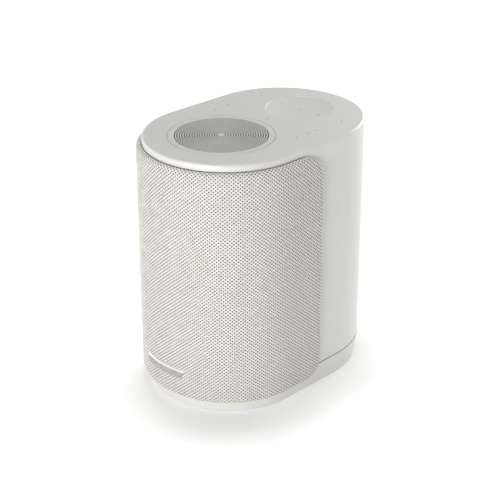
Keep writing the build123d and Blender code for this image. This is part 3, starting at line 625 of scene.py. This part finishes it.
class SPEAKER_OT_badge(Operator):
    """Make the blank bevelled badge plate on the cloth"""

    bl_idname = "speaker.badge"
    bl_label = "Make Badge"

    THICK = 1.5 * MM
    SUNK = 0.1 * MM
    END_SLANT = 3.0 * MM
    COLUMNS = 64
    CHAMFER = 4    # the step of the section where the chamfer starts

    def execute(self, context):
        shell = context.scene.speaker_shell
        pattern = ClothPattern(context.scene.speaker_cloth.edge_round)
        low, high = BADGE_LOW.z, BADGE_HIGH.z
        thick = self.THICK
        upper, lower = BADGE_HIGH.x, BADGE_HIGH.x - self.END_SLANT
        # Section from the lower edge, over the face, to the chamfer along the top, which takes a
        # painted highlight.
        section = [
            (0.0, 0.0), (0.0, 0.6 * thick), (0.06, 0.9 * thick),
            (0.78, 0.9 * thick), (0.82, thick), (1.0, 0.35 * thick), (1.0, 0.0),
        ]
        builder = bmesh.new()
        loops = []
        for column in range(self.COLUMNS + 1):
            share = column / self.COLUMNS * 2 - 1
            loop = []
            for rise, stand_off in section:
                reach = share * (lower + (upper - lower) * rise)
                angle = math.asin(reach / (housing_radius(low) + CLOTH_PROUD))
                loop.append(builder.verts.new(pattern.on_speaker(
                    angle * pattern.bend, low + (high - low) * rise,
                    CLOTH_PROUD - self.SUNK + stand_off,
                )))
            loops.append(loop)
        for first, second in zip(loops, loops[1:]):
            for here in range(len(section)):
                there = (here + 1) % len(section)
                face = builder.faces.new(
                    (first[here], second[here], second[there], first[there])
                )
                # The chamfer and the faces past it take the lighter metal: a painted highlight
                # along the top edge.
                face.material_index = 1 if here >= self.CHAMFER else 0
        builder.faces.new(loops[0])
        builder.faces.new(list(reversed(loops[-1])))
        bmesh.ops.recalc_face_normals(builder, faces=builder.faces)
        mesh = bpy.data.meshes.new("badge")
        builder.to_mesh(mesh)
        builder.free()
        badge = bpy.data.objects.new("badge", mesh)
        context.scene.collection.objects.link(badge)
        soften = badge.modifiers.new("soften", "BEVEL")
        soften.width = 0.12 * MM
        soften.segments = 2
        mesh.materials.append(satin_metal("badge_metal", shell.badge, mottle=0.28))
        # Lighter copy of the satin metal: painted highlight on the top chamfer.
        mesh.materials.append(satin_metal("badge_chamfer_highlight", (0.86, 0.86, 0.84), mottle=0.05))
        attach(badge, "housing")
        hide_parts("badge_plate")
        return {"FINISHED"}


# ---------------------------------------------------------------- printed marks

def top_face(x, y):
    return HEIGHT


def microphone_floor(x, y):
    """Near-black discs lie just inside the microphone holes as painted shade."""
    return HEIGHT - 0.20 * MM


class Dish:
    """The touch dish: a shallow part of a ball, sunk in the top."""

    Y = 47.8 * MM
    DEPTH = 1.8 * MM
    BOWL_RADIUS = 25.55 * MM
    BOWL_RISE = 1.35 * MM
    BALL = (BOWL_RADIUS ** 2 + BOWL_RISE ** 2) / (2 * BOWL_RISE)

    @classmethod
    def floor(cls, x, y):
        reach = x ** 2 + (y - cls.Y) ** 2
        return HEIGHT - cls.DEPTH + cls.BALL - math.sqrt(cls.BALL ** 2 - reach)


# Microphone holes in the top face, in millimetres.
MIC_POINTS = ((-42, -1), (-42, 48), (42, 0.4), (42, 21.3), (42, 48.3))


class MarkPress:
    """Lays small flat shapes, such as printed marks, on the top face or on the dish floor."""

    FILM = 0.10 * MM     # how far a shape stands above the ground
    ROOT = -0.06 * MM    # and how far it is sunk in it
    SIDES = 24

    def __init__(self, name, ground):
        self.name = name
        self.ground = ground
        self.builder = bmesh.new()

    def vertex(self, x, y, level):
        return self.builder.verts.new((x, y, self.ground(x, y) + level))

    def slab(self, outline):
        """A thin printed patch with that outline."""
        under = [self.vertex(x, y, self.ROOT) for x, y in outline]
        over = [self.vertex(x, y, self.FILM) for x, y in outline]
        count = len(outline)
        for here in range(count):
            there = (here + 1) % count
            self.builder.faces.new((under[here], under[there], over[there], over[here]))
        self.builder.faces.new(over)
        self.builder.faces.new(list(reversed(under)))

    def bar(self, x, y, long, wide, turn=0.0):
        """A stadium-shaped stroke."""
        points = []
        straight = max(0.0, long / 2 - wide / 2)
        steps = 8
        for end, start in ((1, -90), (-1, 90)):
            for stage in range(steps + 1):
                angle = math.radians(start + stage * 180 / steps)
                points.append((
                    end * straight + wide / 2 * math.cos(angle), wide / 2 * math.sin(angle),
                ))
        cosine, sine = math.cos(turn), math.sin(turn)
        self.slab([(x + cosine * u - sine * v, y + sine * u + cosine * v) for u, v in points])

    def circle(self, x, y, radius):
        """Points round a circle, one for each side of the round marks."""
        turns = [2 * math.pi * side / self.SIDES for side in range(self.SIDES)]
        return [(x + radius * math.cos(turn), y + radius * math.sin(turn)) for turn in turns]

    def dot(self, x, y, radius):
        """A round patch."""
        self.slab(self.circle(x, y, radius))

    def ring(self, x, y, outer, inner):
        """A flat ring."""
        loops = []
        for radius, level in (
            (inner, self.ROOT), (inner, self.FILM), (outer, self.FILM), (outer, self.ROOT),
        ):
            loops.append([self.vertex(*place, level) for place in self.circle(x, y, radius)])
        for low, high in zip(loops, loops[1:] + loops[:1]):
            for here in range(self.SIDES):
                there = (here + 1) % self.SIDES
                self.builder.faces.new((low[here], low[there], high[there], high[here]))

    def finish(self, material):
        bmesh.ops.recalc_face_normals(self.builder, faces=self.builder.faces)
        mesh = bpy.data.meshes.new(self.name)
        self.builder.to_mesh(mesh)
        self.builder.free()
        mark = bpy.data.objects.new(self.name, mesh)
        bpy.context.scene.collection.objects.link(mark)
        mesh.materials.append(material)
        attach(mark, "housing")
        return mark


class SPEAKER_OT_marks(Operator):
    """Print the generic control marks on the dish and the top face"""

    bl_idname = "speaker.marks"
    bl_label = "Print Control Marks"

    def execute(self, context):
        ink = moulded_plastic(
            "printed_ink", context.scene.speaker_shell.print_ink, roughness=0.45,
            grain_scale=5000.0, bump=0.000005,
        )
        step = 19.2 * MM
        stroke = (3.4 * MM, 0.6 * MM)
        minus = MarkPress("mark_minus", Dish.floor)
        minus.bar(-step, Dish.Y, *stroke)
        minus.finish(ink)
        plus = MarkPress("mark_plus", Dish.floor)
        plus.bar(step, Dish.Y, *stroke)
        plus.bar(step, Dish.Y, *stroke, math.pi / 2)
        plus.finish(ink)
        centre = MarkPress("mark_centre", Dish.floor)
        centre.dot(-1.5 * MM, Dish.Y, 0.8 * MM)
        centre.ring(1.5 * MM, Dish.Y, 1.0 * MM, 0.6 * MM)
        centre.finish(ink)
        lamp = MarkPress("mark_lamp", top_face)
        lamp.ring(0.0, 12.8 * MM, 1.25 * MM, 0.92 * MM)
        lamp.finish(ink)
        for name, x, y in (("mark_left", -42.9, 12.6), ("mark_right", 42.6, 12.7)):
            side = MarkPress(name, top_face)
            side.bar(x * MM, y * MM, 4.6 * MM, 1.1 * MM, math.pi / 2)
            side.finish(ink)
        # Near-black discs just inside the microphone holes: painted shade for the holes.
        meshes = MarkPress("microphone_hole_shade", microphone_floor)
        for x, y in MIC_POINTS:
            meshes.dot(x * MM, y * MM, 0.62 * MM)
        meshes.finish(fine_textile("microphone_shade_black", (0.01, 0.01, 0.01), 6000.0))
        return {"FINISHED"}


# ---------------------------------------------------------------- inside

def inside_materials():
    """One material for each slot that only inner pieces use."""
    black = (0.012, 0.012, 0.013)
    return {
        "frame_plastic": moulded_plastic("frame_plastic", (0.02, 0.02, 0.021), 0.6, wear=0.2),
        "seal_rubber": moulded_plastic("seal_rubber", (0.015, 0.015, 0.015), 0.8, 1500.0),
        "cabinet_plastic": moulded_plastic("cabinet_plastic", black, 0.5, wear=0.3),
        "basket_plastic": moulded_plastic("basket_plastic", (0.01, 0.01, 0.01), 0.45, wear=0.3),
        "cone_paper": moulded_plastic("cone_paper", (0.03, 0.03, 0.032), 0.85, 900.0, 0.2, 0.00008),
        "surround_rubber": moulded_plastic("surround_rubber", black, 0.55, 1800.0),
        "chip_plastic": moulded_plastic("chip_plastic", (0.02, 0.02, 0.02), 0.5),
        "socket_plastic": moulded_plastic("socket_plastic", (0.015, 0.015, 0.015), 0.3, wear=0.2),
        "film_plastic": moulded_plastic("film_plastic", (0.50, 0.27, 0.07), 0.3, coat=0.3),
        "mesh_cloth": fine_textile("mesh_cloth", (0.02, 0.02, 0.02), 2400.0),
        "spider_cloth": fine_textile("spider_cloth", (0.45, 0.26, 0.07)),
        "dome_silk": fine_textile("dome_silk", (0.02, 0.02, 0.022), 2600.0, 0.6),
        "motor_steel": worked_metal("motor_steel", (0.50, 0.51, 0.52)),
        "ferrite": moulded_plastic("ferrite", (0.02, 0.02, 0.022), 0.6, 1200.0, 0.1, 0.0001, 0.4),
        "coil_copper": worked_metal("coil_copper", (0.60, 0.24, 0.10), brush=(40.0, 900.0, 900.0)),
        "screw_steel": worked_metal("screw_steel", (0.12, 0.12, 0.125), 0.4, wear=0.6),
        "shield_tin": worked_metal("shield_tin", (0.62, 0.63, 0.64), 0.3),
        "sink_aluminium": worked_metal("sink_aluminium", (0.60, 0.61, 0.62), 0.4),
        "pin_brass": worked_metal("pin_brass", (0.62, 0.46, 0.18), 0.25),
        "board_laminate": circuit_laminate("board_laminate", (0.01, 0.09, 0.04)),
        "clear_plastic": frosted_guide("clear_plastic", (0.62, 0.62, 0.60)),
    }


class SPEAKER_OT_inside(Operator):
    """Give every inner piece the material of its slot"""

    bl_idname = "speaker.inside"
    bl_label = "Finish Inner Pieces"

    def execute(self, context):
        for slot_name, material in inside_materials().items():
            dress([node for node, used in SLOT_OF.items() if used == slot_name], material)
        return {"FINISHED"}


# ---------------------------------------------------------------- stage

def paper_sweep(paper):
    """A wide, plain white floor that glows a little."""
    half_size, glow = 6.0, 0.15
    material, wires, shader = start_material("paper")
    grain = place_group(wires, moulded_grain_group(), {
        "Colour": rgba(paper), "Grain Scale": 400.0, "Roughness": 0.9, "Drift": 0.0,
    })
    wires.feed(shader, "Base Color", rgba(paper))
    shader.inputs["Emission Color"].default_value = (1.0, 1.0, 1.0, 1.0)
    shader.inputs["Emission Strength"].default_value = glow
    wires.feed(shader, "Roughness", grain.outputs["Roughness"])
    shader.inputs["Specular IOR Level"].default_value = 0.0
    builder = bmesh.new()
    bmesh.ops.create_grid(builder, x_segments=8, y_segments=8, size=half_size)
    mesh = bpy.data.meshes.new("paper_floor")
    builder.to_mesh(mesh)
    builder.free()
    mesh.materials.append(material)
    floor = bpy.data.objects.new("paper_floor", mesh)
    bpy.context.scene.collection.objects.link(floor)
    return floor


DIMMER = 0.93    # turns every light down by the same share

# Name, turn from the front and height above level in degrees, distance, width, height, watts.
STUDIO_LIGHTS = (
    ("overhead", 240, 82, 1.4, 0.3, 0.3, 9.8),
    ("back", 180, 12, 1.6, 0.8, 0.45, 15.0),
    ("back_right", 165, 12, 1.6, 0.8, 0.45, 5.3),
    ("back_left", 195, 12, 1.6, 0.8, 0.45, 2.5),
    ("back_high", 205, 30, 1.6, 0.6, 0.4, 2.6),
    ("left", 280, 12, 1.6, 0.8, 0.45, 6.5),
    ("left_back", 260, 12, 1.6, 0.8, 0.45, 2.6),
    ("right", 105, 12, 1.6, 0.8, 0.45, 3.8),
    ("front_right", 45, 10, 1.6, 0.8, 0.45, 2.1),
    ("front", -15, 12, 1.6, 0.8, 0.45, 1.1),
    ("front_near", 20, 10, 0.7, 0.3, 0.3, 3.5),
)


def soft_box(name, turn, rise, distance, wide, tall, power):
    """A rectangular area light that faces the middle of the speaker."""
    turn, rise = math.radians(turn), math.radians(rise)
    away = Vector((
        math.sin(turn) * math.cos(rise), -math.cos(turn) * math.cos(rise), math.sin(rise),
    ))
    data = bpy.data.lights.new(name, "AREA")
    data.shape = "RECTANGLE"
    data.size, data.size_y = wide, tall
    data.energy = DIMMER * power
    light = bpy.data.objects.new(name, data)
    bpy.context.scene.collection.objects.link(light)
    light.location = Vector((0, 0, HEIGHT / 2)) + away * distance
    light.rotation_euler = (-away).to_track_quat("-Z", "Y").to_euler()
    light.visible_camera = False


def place_camera(stage):
    back = Vector((
        math.sin(stage.azimuth) * math.cos(stage.elevation),
        -math.cos(stage.azimuth) * math.cos(stage.elevation),
        math.sin(stage.elevation),
    ))
    right = Vector((math.cos(stage.azimuth), math.sin(stage.azimuth), 0.0))
    up = back.cross(right)
    slide_right, slide_up = -3.756 * MM, -4.14 * MM
    data = bpy.data.cameras.new("camera")
    data.lens = stage.focal
    data.sensor_width = stage.sensor
    data.clip_end = 50.0
    camera = bpy.data.objects.new("camera", data)
    bpy.context.scene.collection.objects.link(camera)
    place = Vector((0, 0, HEIGHT / 2)) + back * stage.distance + right * slide_right + up * slide_up
    turn = Matrix((right, up, back)).transposed().to_4x4()
    camera.matrix_world = Matrix.Translation(place) @ turn
    bpy.context.scene.camera = camera


class SPEAKER_OT_stage(Operator):
    """Lay the white paper, hang the soft lights and place the camera"""

    bl_idname = "speaker.stage"
    bl_label = "Light the Stage"

    def execute(self, context):
        stage = context.scene.speaker_stage
        scene = context.scene
        scene.view_settings.view_transform = "Standard"
        world = bpy.data.worlds.new("studio")
        scene.world = world
        world.use_nodes = True
        backdrop = world.node_tree.nodes["Background"]
        backdrop.inputs["Color"].default_value = (1.0, 1.0, 1.0, 1.0)
        backdrop.inputs["Strength"].default_value = 0.12
        paper_sweep(stage.paper)
        for row in STUDIO_LIGHTS:
            soft_box(*row)
        place_camera(stage)
        return {"FINISHED"}


# ---------------------------------------------------------------- panel and registration

class SPEAKER_PT_tools(Panel):
    """Lists the operators that dress the speaker."""

    bl_idname = "SPEAKER_PT_tools"
    bl_label = "Shelf Speaker"
    bl_space_type = "VIEW_3D"
    bl_region_type = "UI"
    bl_category = "Speaker"

    def draw(self, context):
        for operator in STEPS:
            self.layout.operator(operator.bl_idname)
        for group in ("speaker_shell", "speaker_cloth", "speaker_stage"):
            settings = getattr(context.scene, group)
            box = self.layout.box()
            for key in settings.__annotations__:
                box.prop(settings, key)


SETTINGS = {
    "speaker_shell": SpeakerShellSettings,
    "speaker_cloth": SpeakerClothSettings,
    "speaker_stage": SpeakerStageSettings,
}
STEPS = (
    SPEAKER_OT_housing,
    SPEAKER_OT_cloth,
    SPEAKER_OT_badge,
    SPEAKER_OT_marks,
    SPEAKER_OT_inside,
    SPEAKER_OT_stage,
)


def register():
    for cls in (*SETTINGS.values(), *STEPS, SPEAKER_PT_tools):
        bpy.utils.register_class(cls)
    for name, cls in SETTINGS.items():
        setattr(bpy.types.Scene, name, PointerProperty(type=cls))


def unregister():
    for name in SETTINGS:
        delattr(bpy.types.Scene, name)
    for cls in reversed((*SETTINGS.values(), *STEPS, SPEAKER_PT_tools)):
        bpy.utils.unregister_class(cls)


def main():
    register()
    bpy.ops.speaker.housing()
    bpy.ops.speaker.cloth()
    bpy.ops.speaker.badge()
    bpy.ops.speaker.marks()
    bpy.ops.speaker.inside()
    bpy.ops.speaker.stage()


if __name__ == "__main__":
    main()
